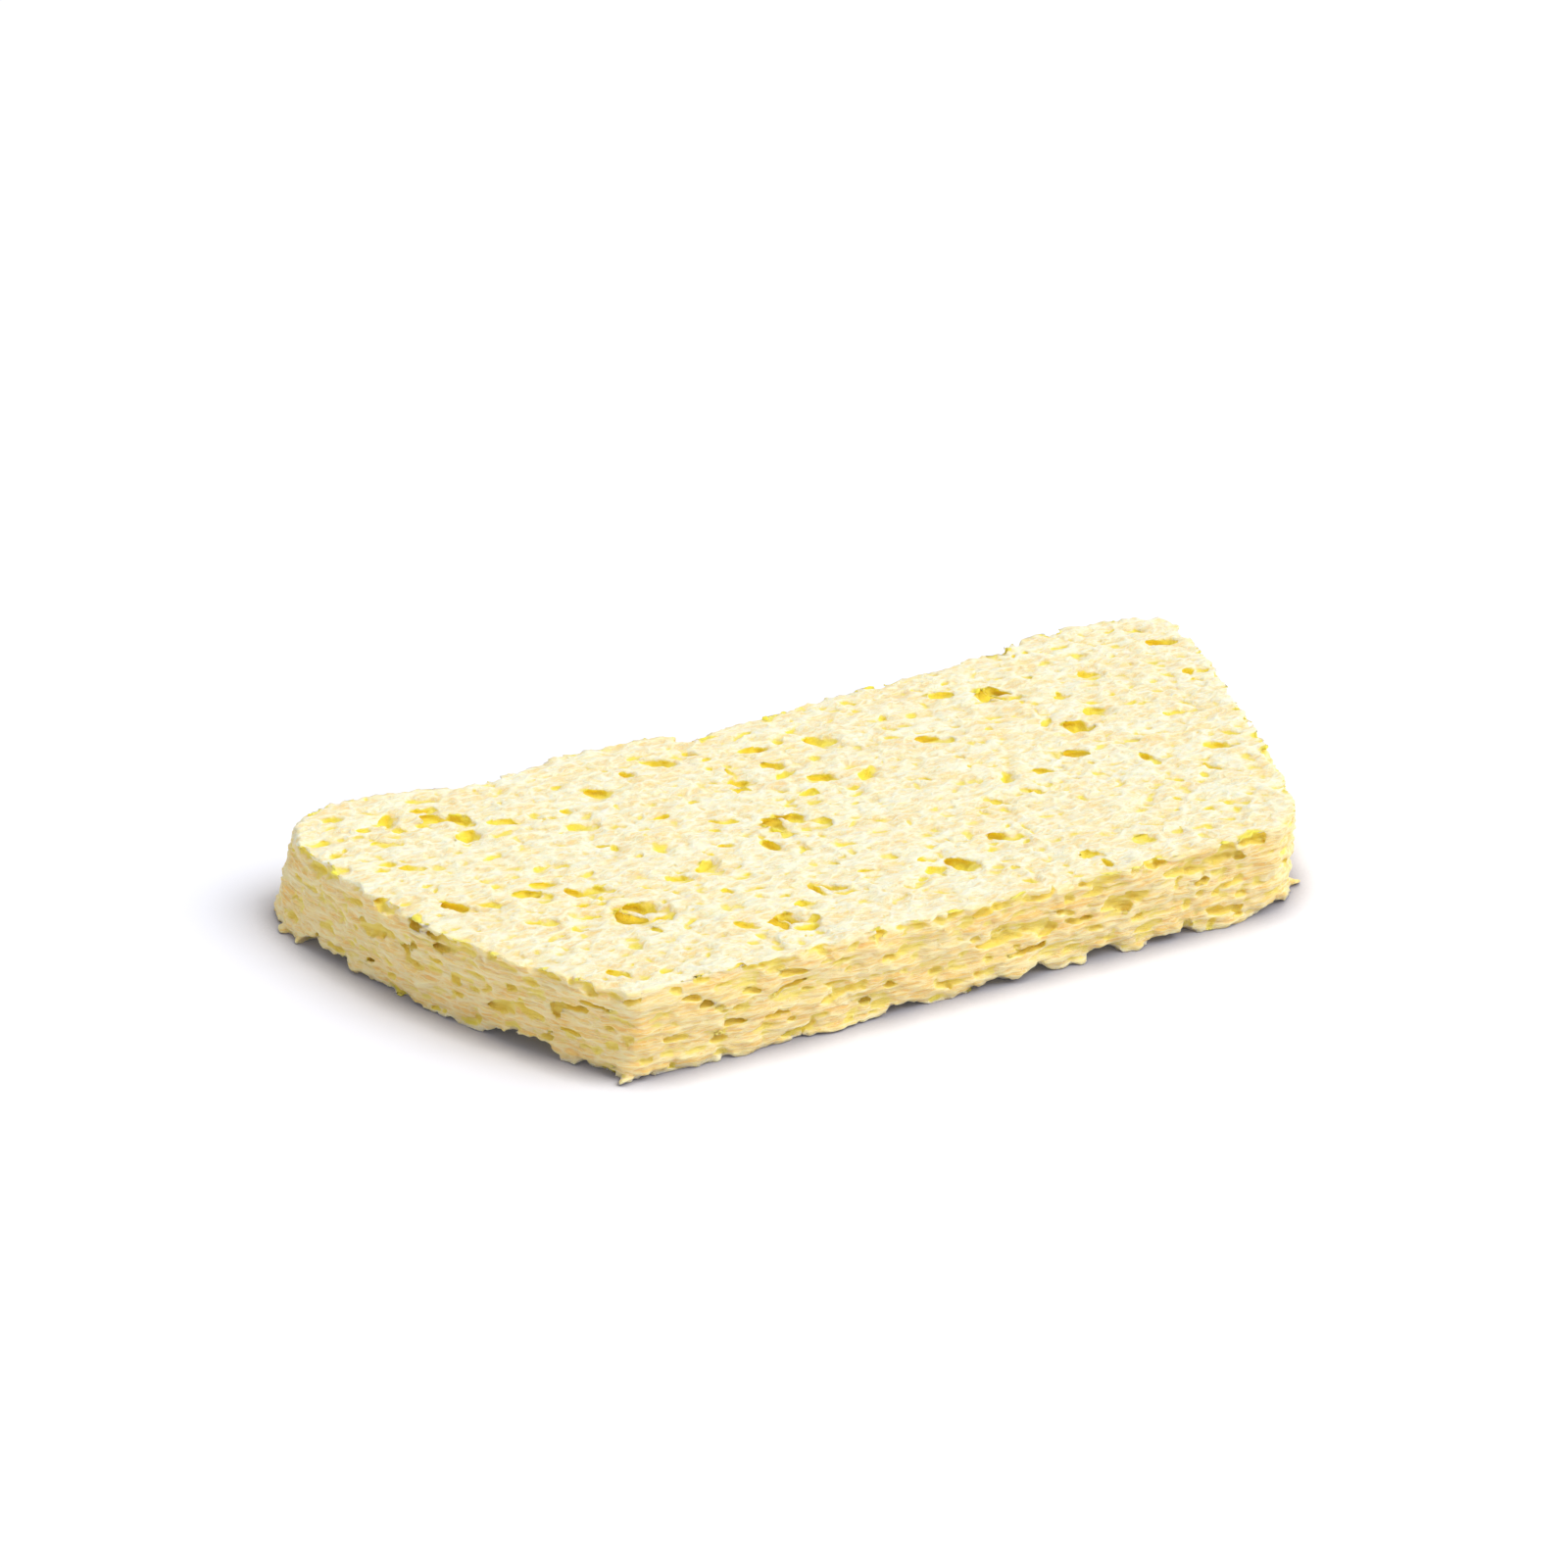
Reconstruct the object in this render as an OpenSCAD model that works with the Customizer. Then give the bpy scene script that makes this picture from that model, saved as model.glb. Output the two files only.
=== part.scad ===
// Tip-cleaning sponge for a soldering bench: one flat slab of yellow
// cellulose sponge, cut as a trapezium whose long edge is at the back.
// The sponge was pressed flat when it was made, so its bubbles are squashed:
// they show as open pits on the two faces and as thin slits in the cut walls,
// and the walls break up into ragged layers.
//
// Frame: origin at the middle of the underside, +X along the long edge,
// +Y from the short front edge to the long back edge, +Z up. Millimetres.

/* [Slab] */
// Length of the long edge, at the back
back_len = 98.5; // [70:0.5:110]
// Length of the short edge, at the front
front_len = 67.5; // [40:0.5:90]
// From the front edge to the back edge
depth = 45.6; // [30:0.1:55]
// Thickness of the slab
thick = 8.5; // [6:0.5:10]

/* [Outline] */
// How far the left end bows out from a straight cut, at the top
left_bow = 4.2; // [0:0.1:6]
// How far the left end bows out at the foot
left_foot_bow = 2.8; // [0:0.1:6]
// How far the foot of the back left corner spreads beyond its top
left_flare = 2.8; // [0:0.1:4]
// How far the right end bows out from a straight cut
right_bow = 1.6; // [0:0.1:6]
// How far the middle of the back edge sags in
back_sag = 1.1; // [0:0.1:3]
// Cut-back of the sharp front left corner
front_left_r = 1.2; // [1:0.1:6]
// Cut-back of the front right corner
front_right_r = 2.4; // [1:0.1:8]
// Cut-back of the back right corner
back_right_r = 4; // [1:0.1:10]
// Cut-back of the back left corner
back_left_r = 6.5; // [1:0.1:10]

/* [Torn layers] */
// Height of one pressed layer in the cut walls
layer_h = 1.2; // [1:0.1:3]
// How far a layer may lie behind its neighbours
layer_inset = 0.6; // [0:0.05:1.5]
// How far the torn edge of a layer wanders in and out
edge_wander = 0.35; // [0:0.05:0.8]
// Spacing of the points along a torn edge
edge_step = 4.5; // [4:0.5:10]

/* [Pits in the faces] */
// Spacing of the small pits in the top face
top_pitch = 5.4; // [5:0.1:12]
// Spacing of the small pits in the underside
under_pitch = 8; // [7:0.1:12]
// Length of the smallest pit
pit_min = 1.1; // [0.6:0.1:2]
// Length of the largest of the small pits
pit_max = 2.6; // [1.5:0.1:4]
// Depth of a small pit below the face
pit_depth = 1.1; // [0.4:0.1:2.5]
// Clear margin between the small pits and the edge
pit_margin = 1.6; // [0.5:0.1:5]

/* [Slits in the walls] */
// Spacing of the slits along a wall
slit_pitch = 11; // [9:0.5:20]
// Length of the shortest slit
slit_min = 2.6; // [1:0.1:4]
// Length of the longest slit
slit_max = 6.2; // [3:0.1:9]
// Height of a slit
slit_h = 0.75; // [0.3:0.05:0.9]
// How far a slit reaches into the slab
slit_depth = 2.6; // [0.5:0.1:5]

/* [Hidden] */

half_depth = depth / 2;
layers = round(thick / layer_h);
layer_t = thick / layers;
seed_edges = 11;
seed_top = 23;
seed_under = 37;
seed_slits = 53;
small_sides = 6;
large_sides = 8;
// A large pore is two bubbles: how far apart they lie as a share of its length,
// how much smaller the lesser one is, and how far they are turned apart
pore_spread = 0.36;
pore_lesser = 0.8;
pore_twist = 20;
// A small pit's width as a share of its length, and how far pits stray from a
// regular grid along the slab and across it
pit_slimmest = 0.5;
pit_roundest = 0.9;
pit_stray_x = 0.8;
pit_stray_y = 0.5;
// Only every second place on a wall holds a slit, and a long one anywhere
long_slit = 0.75;
slit_reach = [0.7, 1.2];
// Shares of a corner's curve at which it gets a point
CORNER_STEPS = [1 / 3, 2 / 3];

// The corners of the trapezium, anticlockwise from the front left, at share h
// of the way up the slab. Wall i runs from corner i to corner i + 1.
function corners(h) = [
    [-front_len / 2, -half_depth],
    [front_len / 2, -half_depth],
    [back_len / 2, half_depth],
    [-back_len / 2 + left_flare * (h - 0.5), half_depth]
];
CORNER_R = [front_left_r, front_right_r, back_right_r, back_left_r];
FRONT = 0;
RIGHT = 1;
BACK = 2;
LEFT = 3;
// How far each wall bows out at share h of the way up
function bows(h) = [0, right_bow, -back_sag, lerp(left_foot_bow, left_bow, h)];
// The back edge was cut by hand, so it swells and dips: share of the way along it
// from its right end, how far it stands out there, and half the length of the wave
BACK_WAVES = [
    [0.13, 2.4, 9],
    [0.50, -1.3, 8],
    [0.57, -2.0, 3],
    [0.80, -1.8, 5.5]
];

// The large open pores of the top face. The first two numbers place a pore:
// across the slab from -1 at the left end to 1 at the right end, and from 0 at
// the front edge to 1 at the back. Then its length, width and depth, and the
// turn of its long side.
LARGE_PORES = [
    [-0.66, 0.27, 6.6, 4.6, 3.0, -20],
    [-0.43, 0.11, 5.4, 3.8, 2.6, -35],
    [-0.71, 0.42, 3.4, 2.0, 1.8, -15],
    [-0.25, 0.20, 5.2, 2.4, 1.6, -30],
    [-0.16, 0.47, 8.0, 5.6, 1.5, -25],
    [0.07, 0.16, 4.2, 2.8, 2.0, -50],
    [-0.72, 0.73, 3.6, 2.4, 2.0, 20],
    [-0.94, 0.47, 4.0, 2.0, 1.6, -60],
    [-0.80, 0.88, 4.0, 2.4, 1.7, 65],
    [-0.42, 0.78, 3.2, 2.0, 1.4, -20],
    [-0.14, 0.69, 3.2, 2.2, 1.6, -10],
    [-0.04, 0.68, 2.8, 1.8, 1.4, 35],
    [0.41, 0.86, 3.0, 2.0, 1.5, -10],
    [0.53, 0.81, 5.0, 3.6, 1.8, -25],
    [0.66, 0.59, 3.6, 2.8, 2.0, -30],
    [0.59, 0.48, 3.0, 1.8, 1.6, -25],
    [0.39, 0.46, 2.8, 2.0, 1.4, 45],
    [0.09, 0.78, 3.4, 2.6, 1.4, -40],
    [0.22, 0.23, 3.2, 1.6, 1.3, -45],
    [0.32, 0.68, 4.0, 2.4, 1.5, -20],
    [0.95, 0.38, 3.0, 1.8, 1.4, -25],
    [0.92, 0.87, 4.2, 2.4, 1.5, -20],
    [-0.26, 0.84, 3.4, 2.2, 1.4, -35],
    [0.11, 0.61, 3.4, 2.4, 1.4, 50]
];

// Hollows that break out through the bottom edge: wall, share of the way along
// it, and the width, height and depth of the bite
BITES = [
    [LEFT, 0.22, 4, 1.4, 1.8],
    [LEFT, 0.76, 8, 1.3, 1.6],
    [FRONT, 0.39, 5, 0.8, 1.4],
    [FRONT, 0.59, 5, 1.1, 1.6],
    [FRONT, 0.70, 5, 1.2, 1.6],
    [FRONT, 0.81, 6, 0.8, 1.4],
    [RIGHT, 0.45, 6, 1.4, 1.8],
    [BACK, 0.25, 7, 1.4, 2.0],
    [BACK, 0.70, 5, 1.4, 1.8]
];

// Torn shreds that stand out at the bottom edge: wall, share of the way along
// it, and the width of the shred and how far it stands out
SHREDS = [
    [LEFT, 0.98, 1.2, 0.9],
    [LEFT, 0.14, 1.6, 0.4],
    [FRONT, 0.75, 1.8, 0.4],
    [RIGHT, 0.10, 1.4, 0.9]
];
shred_h = 0.8;
shred_foot_r = 0.3;
shred_tip_r = 0.2;

function lerp(a, b, t) = a + (b - a) * t;
function next(i) = (i + 1) % len(CORNERS);
function unit(v) = v / norm(v);

CORNERS = corners(0.5);
function wall_len(i) = norm(CORNERS[next(i)] - CORNERS[i]);
function wall_dir(i) = unit(CORNERS[next(i)] - CORNERS[i]);
function wall_out(i) = [wall_dir(i).y, -wall_dir(i).x];
function wall_turn(i) = atan2(wall_dir(i).y, wall_dir(i).x);

// How far the back wall's waves carry it out at share t of its length. Each wave
// is a bell.
function sum(list, i = 0) = i < len(list) ? list[i] + sum(list, i + 1) : 0;
function wave(w, t) = w[1] * exp(-(((t - w[0]) * wall_len(BACK) / w[2]) ^ 2));
function back_waves(t) = sum([for (w = BACK_WAVES) wave(w, t)]);

// A point of wall i at share t of its length and share h of its height. The
// wall bows as a parabola.
function wall_bow(i, t, h) = bows(h)[i] * 4 * t * (1 - t) + (i == BACK ? back_waves(t) : 0);
function wall_point(i, t, h) =
    lerp(corners(h)[i], corners(h)[next(i)], t) + wall_out(i) * wall_bow(i, t, h);

function wall_start(i) = CORNER_R[i] / wall_len(i);
function wall_end(i) = 1 - CORNER_R[next(i)] / wall_len(i);

// The outline at share h of the height, as [point, outward direction] pairs,
// one wall and one corner at a time. A corner is a curve from the place where
// its cut-back begins to the place where it ends, drawn towards its tip.
function wall_run(i, h) =
    let (count = ceil(wall_len(i) / edge_step))
    [for (j = [0:count]) [wall_point(i, lerp(wall_start(i), wall_end(i), j / count), h), wall_out(i)]];
function corner_run(i, h) =
    let (
        from = wall_point(i, wall_end(i), h),
        to = wall_point(next(i), wall_start(next(i)), h),
        tip = corners(h)[next(i)],
        out = unit(wall_out(i) + wall_out(next(i)))
    )
    [for (t = CORNER_STEPS) [from * (1 - t) ^ 2 + tip * 2 * t * (1 - t) + to * t ^ 2, out]];
function outline(h) = [for (i = [FRONT:LEFT]) each concat(wall_run(i, h), corner_run(i, h))];

// How far up the slab the middle of layer k lies
function layer_share(k) = (k + 0.5) / layers;

// The middle of the slab seen from above, which becomes the origin
EDGE_POINTS = [for (k = [0:layers - 1], p = outline(layer_share(k))) p[0]];
EDGE_X = [for (p = EDGE_POINTS) p.x];
EDGE_Y = [for (p = EDGE_POINTS) p.y];
MIDDLE = [max(EDGE_X) + min(EDGE_X), max(EDGE_Y) + min(EDGE_Y)] / 2;

// Half the slab's width at share v of the way from front to back
function half_width(v) = lerp(front_len, back_len, v) / 2;

// One pressed layer: the outline drawn in a little, its edge torn
module layer(k) {
    edge = outline(layer_share(k));
    wander = rands(-edge_wander, edge_wander, len(edge), seed_edges + k);
    // The lowest layer keeps its full size, because the slab rests on it
    inset = k == 0 ? 0 : rands(0, layer_inset, 1, seed_edges * (k + 1))[0];
    translate([0, 0, k * layer_t])
        linear_extrude(layer_t)
            polygon([for (i = [0:len(edge) - 1]) edge[i][0] + edge[i][1] * (wander[i] - inset)]);
}

// A squashed bubble, lying flat, with its long side turned by turn
module bubble(size, turn, sides) {
    rotate(turn)
        scale(size / 2)
            sphere(r = 1, $fn = sides);
}

// A large pore is two bubbles that ran together
module large_pore(p) {
    size = [p[2] * (1 - pore_spread), p[3], 2 * p[4]];
    step = [cos(p[5]), sin(p[5])] * p[2] * pore_spread / 2;
    place = [p[0] * half_width(p[1]), lerp(-half_depth, half_depth, p[1])];
    translate([place.x, place.y, thick])
        hull() {
            translate([-step.x, -step.y, 0])
                bubble([size.x, size.y, size.z * pore_lesser], p[5], large_sides);
            translate([step.x, step.y, 0])
                bubble([size.x, size.y * pore_lesser, size.z], p[5] + pore_twist, large_sides);
        }
}

// Small pits, scattered over a face at height z by shifting a staggered grid
module small_pits(z, pitch, seed) {
    rows = floor((depth - 2 * pit_margin) / pitch);
    columns = ceil(max(front_len, back_len) / pitch);
    for (row = [0:rows]) {
        shift = rands(-0.5, 0.5, 2 * (columns + 1), seed + row);
        sizes = rands(0, 1, 2 * (columns + 1), seed * 2 + row);
        for (column = [0:columns]) {
            stagger = row % 2 / 2;
            x = (column + stagger - columns / 2 + pit_stray_x * shift[columns + column]) * pitch;
            y = -half_depth + pit_margin + (row + pit_stray_y * (shift[column] + 0.5)) * pitch;
            long = lerp(pit_min, pit_max, sizes[column] ^ 2);
            wide = long * lerp(pit_slimmest, pit_roundest, sizes[columns + column]);
            inside = abs(x) < half_width((y + half_depth) / depth) - pit_margin - long / 2;
            if (inside && y < half_depth - pit_margin - long / 2)
                translate([x, y, z])
                    bubble([long, wide, 2 * pit_depth], 180 * shift[column], small_sides);
        }
    }
}

// Slits in the four cut walls, where squashed bubbles were cut across
module wall_slits() {
    for (wall = [FRONT:LEFT], k = [0:layers - 1]) {
        count = floor(wall_len(wall) / slit_pitch);
        along = rands(0, 1, count, seed_slits + 10 * wall + k);
        sizes = rands(0, 1, count, seed_slits * 3 + 10 * wall + k);
        for (j = [0:count - 1]) {
            t = (j + along[j]) / count;
            long = lerp(slit_min, slit_max, sizes[j]);
            reach = slit_depth * lerp(slit_reach[0], slit_reach[1], along[j]);
            place = wall_point(wall, t, layer_share(k));
            if ((j + k) % 2 == 0 || sizes[j] > long_slit)
                translate([place.x, place.y, (k + 0.5) * layer_t])
                    bubble([long, 2 * reach, slit_h], wall_turn(wall), small_sides);
        }
    }
}

// A hollow that opens through the bottom edge
module bite(b) {
    place = wall_point(b[0], b[1], 0);
    translate([place.x, place.y, 0])
        bubble([b[2], 2 * b[4], 2 * b[3]], wall_turn(b[0]), large_sides);
}

// A shred of torn sponge, lying on the bench at the foot of a wall
module shred(s) {
    foot = wall_point(s[0], s[1], 0) - wall_out(s[0]) * edge_wander;
    tip = foot + wall_out(s[0]) * (s[3] + edge_wander);
    side = wall_dir(s[0]) * s[2] / 2;
    hull() {
        for (p = [foot - side, foot + side])
            translate([p.x, p.y, 0])
                cylinder(r = shred_foot_r, h = shred_h, $fn = small_sides);
        translate([tip.x, tip.y, 0])
            cylinder(r = shred_tip_r, h = shred_h / 2, $fn = small_sides);
    }
}

module sponge() {
    color("khaki")
        translate([-MIDDLE.x, -MIDDLE.y, 0]) {
            difference() {
                for (k = [0:layers - 1]) layer(k);
                for (p = LARGE_PORES) large_pore(p);
                small_pits(thick, top_pitch, seed_top);
                small_pits(0, under_pitch, seed_under);
                wall_slits();
                for (b = BITES) bite(b);
            }
            for (s = SHREDS) shred(s);
        }
}

sponge();
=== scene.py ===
# %% [markdown]
# # A cleaning sponge for a soldering bench
# The real object is one slab of cellulose sponge. It was foamed, pressed flat and cut
# out, so it is full of squashed bubbles. On the faces they show as open pits, and on the
# cut walls as rows of thin slits between torn layers.
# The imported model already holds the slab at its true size. This script keeps that place
# and size, and makes the sponge's surface again with many more bubbles than a CAD solid
# can carry.

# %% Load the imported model
import math
import random

import bmesh
import bpy
from mathutils import Matrix, Vector, noise
from mathutils.bvhtree import BVHTree


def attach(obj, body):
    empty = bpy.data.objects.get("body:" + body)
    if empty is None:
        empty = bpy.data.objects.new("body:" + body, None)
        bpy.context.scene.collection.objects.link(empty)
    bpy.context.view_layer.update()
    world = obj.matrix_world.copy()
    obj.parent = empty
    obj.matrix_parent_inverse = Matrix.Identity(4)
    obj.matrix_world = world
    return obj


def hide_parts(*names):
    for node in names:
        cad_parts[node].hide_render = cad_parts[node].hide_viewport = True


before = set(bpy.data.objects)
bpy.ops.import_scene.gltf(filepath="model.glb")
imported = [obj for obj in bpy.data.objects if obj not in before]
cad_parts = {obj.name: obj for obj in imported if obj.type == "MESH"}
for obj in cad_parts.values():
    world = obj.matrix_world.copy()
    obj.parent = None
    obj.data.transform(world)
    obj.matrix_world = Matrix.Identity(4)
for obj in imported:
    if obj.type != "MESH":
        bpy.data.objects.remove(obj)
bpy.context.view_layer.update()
MM = 0.001

# %% [markdown]
# ## The outline of the slab
# The slab is a trapezium with its long edge at the back. Its left end bows out and
# spreads at the foot, and its back edge was cut by hand, so it swells and dips. Each wall
# is a straight line with a parabola added, and each corner is a curve between two walls.
# A corner with a flat share is cut across more than a round one.
# The sizes are those of the CAD solid, so the new surface lies where the solid is. Only
# the two corners on the right follow the photograph a little closer, by a millimetre or
# less. All work is in millimetres until the last step.

# %% Sizes of the slab in millimetres
BACK_LEN = 98.5
FRONT_LEN = 67.5
DEPTH = 45.6
THICK = 8.5
LAYERS = 7
LEFT_BOW = 4.2
LEFT_FOOT_BOW = 2.8
LEFT_FLARE = 2.8
RIGHT_BOW = 1.6
BACK_SAG = 1.1
# Each swell or dip of the back edge: its place along the edge, how far out, and half width.
BACK_WAVES = [(0.13, 2.4, 9.0), (0.50, -1.3, 8.0), (0.57, -2.0, 3.0), (0.80, -1.8, 5.5)]
# For each corner, from the front left round to the back left: its size and its flat share.
CORNER_R = [1.2, 3.6, 2.6, 6.5]
CORNER_FLAT = [0.0, 0.4, 0.0, 0.0]
CORNER_STEPS = [1 / 6, 2 / 6, 3 / 6, 4 / 6, 5 / 6]
EDGE_STEP = 1.5
FRONT, RIGHT, BACK, LEFT = range(4)


def corners(share):
    """The four corners at a share of the height, from the front left round to the back left."""
    flare = LEFT_FLARE * (share - 0.5)
    half = DEPTH / 2
    return [
        Vector((-FRONT_LEN / 2, -half)),
        Vector((FRONT_LEN / 2, -half)),
        Vector((BACK_LEN / 2, half)),
        Vector((-BACK_LEN / 2 + flare, half)),
    ]


def wall_run(wall):
    """The straight way from a wall's first corner to its last, at half height."""
    return corners(0.5)[(wall + 1) % 4] - corners(0.5)[wall]


def wall_length(wall):
    """The length of a wall, from corner to corner."""
    return wall_run(wall).length


def wall_turn(wall):
    """The direction of a wall, in degrees."""
    run = wall_run(wall)
    return math.degrees(math.atan2(run.y, run.x))


def wall_point(wall, along, share):
    """A point of a wall, at a share of its length and a share of the slab's height."""
    ends = corners(share)
    run = wall_run(wall)
    outward = Vector((run.y, -run.x)).normalized()
    left_bow = LEFT_FOOT_BOW + (LEFT_BOW - LEFT_FOOT_BOW) * share
    bow = [0.0, RIGHT_BOW, -BACK_SAG, left_bow][wall] * 4 * along * (1 - along)
    if wall == BACK:
        for centre, out, half_wide in BACK_WAVES:
            bow += out * math.exp(-((along - centre) * run.length / half_wide) ** 2)
    return ends[wall].lerp(ends[(wall + 1) % 4], along) + outward * bow


def outline(share):
    """The whole outline at a share of the height, as a list of points."""
    points = []
    for wall in range(4):
        following = (wall + 1) % 4
        first = CORNER_R[wall] / wall_length(wall)
        last = 1 - CORNER_R[following] / wall_length(wall)
        count = math.ceil(wall_length(wall) / EDGE_STEP)
        for k in range(count + 1):
            points.append(wall_point(wall, first + (last - first) * k / count, share))
        entry = wall_point(wall, last, share)
        leave = wall_point(following, CORNER_R[following] / wall_length(following), share)
        tip = corners(share)[following].lerp((entry + leave) / 2, CORNER_FLAT[following])
        for t in CORNER_STEPS:
            points.append(entry * (1 - t) ** 2 + tip * 2 * t * (1 - t) + leave * t ** 2)
    return points


edge_points = [p for k in range(LAYERS) for p in outline((k + 0.5) / LAYERS)]
MIDDLE = Vector((
    (max(p.x for p in edge_points) + min(p.x for p in edge_points)) / 2,
    (max(p.y for p in edge_points) + min(p.y for p in edge_points)) / 2,
))
print("the slab's middle lies at", MIDDLE)

# %% [markdown]
# ## The uncut slab
# Two rings of vertices, one at the foot and one at the top, are filled and bridged. This
# is the block that the bubbles are cut from, and also the measure of how deep a point
# lies below the sponge's skin.

# %% Make the slab
def direction(turn):
    """A level direction, from its turn in degrees."""
    return Vector((math.cos(math.radians(turn)), math.sin(math.radians(turn)), 0))


def as_object(bm, name):
    """Turns a bmesh into an object of the scene."""
    mesh = bpy.data.meshes.new(name)
    bm.to_mesh(mesh)
    bm.free()
    made = bpy.data.objects.new(name, mesh)
    bpy.context.scene.collection.objects.link(made)
    return made


def make_slab():
    """The uncut slab, with its walls and both faces in triangles."""
    bm = bmesh.new()
    foot = [bm.verts.new((p.x, p.y, 0)) for p in outline(0)]
    top = [bm.verts.new((p.x, p.y, THICK)) for p in outline(1)]
    bm.faces.new(reversed(foot))
    bm.faces.new(top)
    pairs = [pair for ring in (foot, top) for pair in zip(ring, ring[1:] + ring[:1])]
    rings = [bm.edges.get(pair) for pair in pairs]
    bmesh.ops.bridge_loops(bm, edges=rings)
    bmesh.ops.recalc_face_normals(bm, faces=bm.faces)
    bmesh.ops.triangulate(bm, faces=bm.faces)
    return bm


slab_bm = make_slab()
skin = BVHTree.FromBMesh(slab_bm)
sponge = as_object(slab_bm, "cellulose_sponge")
print("slab:", len(sponge.data.polygons), "triangles")


def depth_below_skin(p):
    """How far a point lies inside the uncut slab, in millimetres; negative outside it."""
    place, normal, _, distance = skin.find_nearest(p)
    return distance if (p - place).dot(normal) < 0 else -distance


def depth_in_outline(x, y):
    """The same for a place at half the slab's height, so near a wall it is the wall's distance."""
    return depth_below_skin(Vector((x, y, THICK / 2)))


# %% [markdown]
# ## The bubbles
# A bubble is an icosphere, pressed flat and turned a little at random. There are two
# kinds. The large open pores of the top lie where the photograph shows them, and each is
# a shallow dish with a deeper pocket under its rim. The rest are scattered by a seeded
# random generator in a thin shell below the skin, because nobody sees the sponge's inside.

# %% The large pores: place, length, width, depth and turn
LARGE_PORES = [
    (-26.3, -10.3, 6.4, 4.8, 2.6, -20),
    (-15.8, -18.0, 5.0, 3.8, 2.4, -35),
    (-29.5, -4.0, 3.4, 2.0, 1.6, -15),
    (-9.9, -13.9, 5.0, 2.4, 1.3, -30),
    (-6.6, -1.4, 7.6, 5.6, 1.3, -25),
    (2.7, -15.5, 4.2, 2.8, 1.8, -50),
    (-33.4, 10.6, 3.6, 2.4, 1.8, 20),
    (-40.0, -1.5, 4.0, 2.0, 1.5, -60),
    (-38.8, 17.2, 4.0, 2.4, 1.6, 65),
    (-19.7, 12.8, 3.2, 2.0, 1.3, -20),
    (-6.6, 8.7, 3.2, 2.2, 1.5, -10),
    (-2.6, 8.4, 2.8, 1.8, 1.3, 35),
    (19.0, 16.4, 3.0, 2.0, 1.4, -10),
    (24.0, 14.1, 5.0, 3.6, 1.7, -25),
    (27.0, 4.1, 3.6, 2.8, 1.8, -30),
    (23.6, -0.9, 3.0, 1.8, 1.5, -25),
    (15.5, -1.8, 2.8, 2.0, 1.3, 45),
    (4.0, 13.1, 3.4, 2.6, 1.3, -40),
    (8.5, -12.3, 3.2, 1.6, 1.2, -45),
    (13.5, 8.3, 4.0, 2.4, 1.4, -20),
    (36.5, -5.4, 3.0, 1.8, 1.3, -25),
    (44.9, 17.2, 4.2, 2.4, 1.4, -20),
    (-11.4, 15.4, 3.4, 2.2, 1.3, -35),
    (4.2, 5.0, 3.4, 2.4, 1.3, 50),
]
print("large pores:", len(LARGE_PORES))

# %% Bubbles, and pores made of two or three bubbles
rng = random.Random(7)
bubbles = []
TILT = 9
LARGE_PORE = 4.5
# Half sizes of a pore's bubbles, as shares of the pore's length, width and depth.
DISH = (0.46, 0.44, 0.3)
POCKET = (0.37, 0.27, 0.3)
SIDE_BUBBLE = (0.22, 0.24, 0.36)
SIDE_TURN = 20
STEPS_IN_PORE = 5
POCKET_STEPS = 0.6
POCKET_UNDER_RIM = 0.22
POCKET_SUNK = 0.28


def add_bubble(place, size, turn):
    """Notes a bubble by its middle, three half sizes and turn, and tilts it a little."""
    bubbles.append(
        Matrix.Translation(place)
        @ Matrix.Rotation(math.radians(turn), 4, "Z")
        @ Matrix.Rotation(math.radians(rng.uniform(-TILT, TILT)), 4, "X")
        @ Matrix.Rotation(math.radians(rng.uniform(-TILT, TILT)), 4, "Y")
        @ Matrix.Diagonal((*size, 1))
    )


def shares_of(size, shares):
    """Three lengths, each times its own share."""
    return [length * share for length, share in zip(size, shares)]


def add_pore(x, y, long, wide, deep, turn):
    """A shallow dish in the top, and a deeper pocket under its far rim."""
    size = (long, wide, deep)
    step = direction(turn) * long / STEPS_IN_PORE
    middle = Vector((x, y, THICK))
    add_bubble(middle, shares_of(size, DISH), turn)
    under_rim = Vector((0, wide * POCKET_UNDER_RIM, -deep * POCKET_SUNK))
    add_bubble(middle - step * POCKET_STEPS + under_rim, shares_of(size, POCKET), turn)
    if long > LARGE_PORE:
        add_bubble(middle + step, shares_of(size, SIDE_BUBBLE), turn + SIDE_TURN)


for large_pore in LARGE_PORES:
    add_pore(*large_pore)
print("large pore bubbles:", len(bubbles))

# %% [markdown]
# The sponge was drawn out a little along its length when it was made, so its bubbles are
# longer that way. The small pores have the same form as the large ones. Between them lie
# round pits and, most of all, long marks that are hardly deeper than the felt. On the
# underside some pits open by a narrow mouth, which leaves a lip over a hidden edge.

# %% Scatter the small bubbles
DRAWN_TURN = -20
TURN_SPREAD = 35
EDGE_GAP = 0.4
SMALL_PORES = 108
SHORTEST_PORE = 1.4
PORE_LENGTH_RANGE = 2.8
PORE_SLIMNESS = (0.4, 0.65)
PORE_DEPTH = (0.7, 1.2)
ROUND_PITS = 260
LONG_MARKS = 700
UNDERSIDE_PITS = 420


def random_place():
    """A place anywhere over the slab's box, as x and y."""
    return rng.uniform(-BACK_LEN, BACK_LEN) / 2, rng.uniform(-DEPTH, DEPTH) / 2


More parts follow.
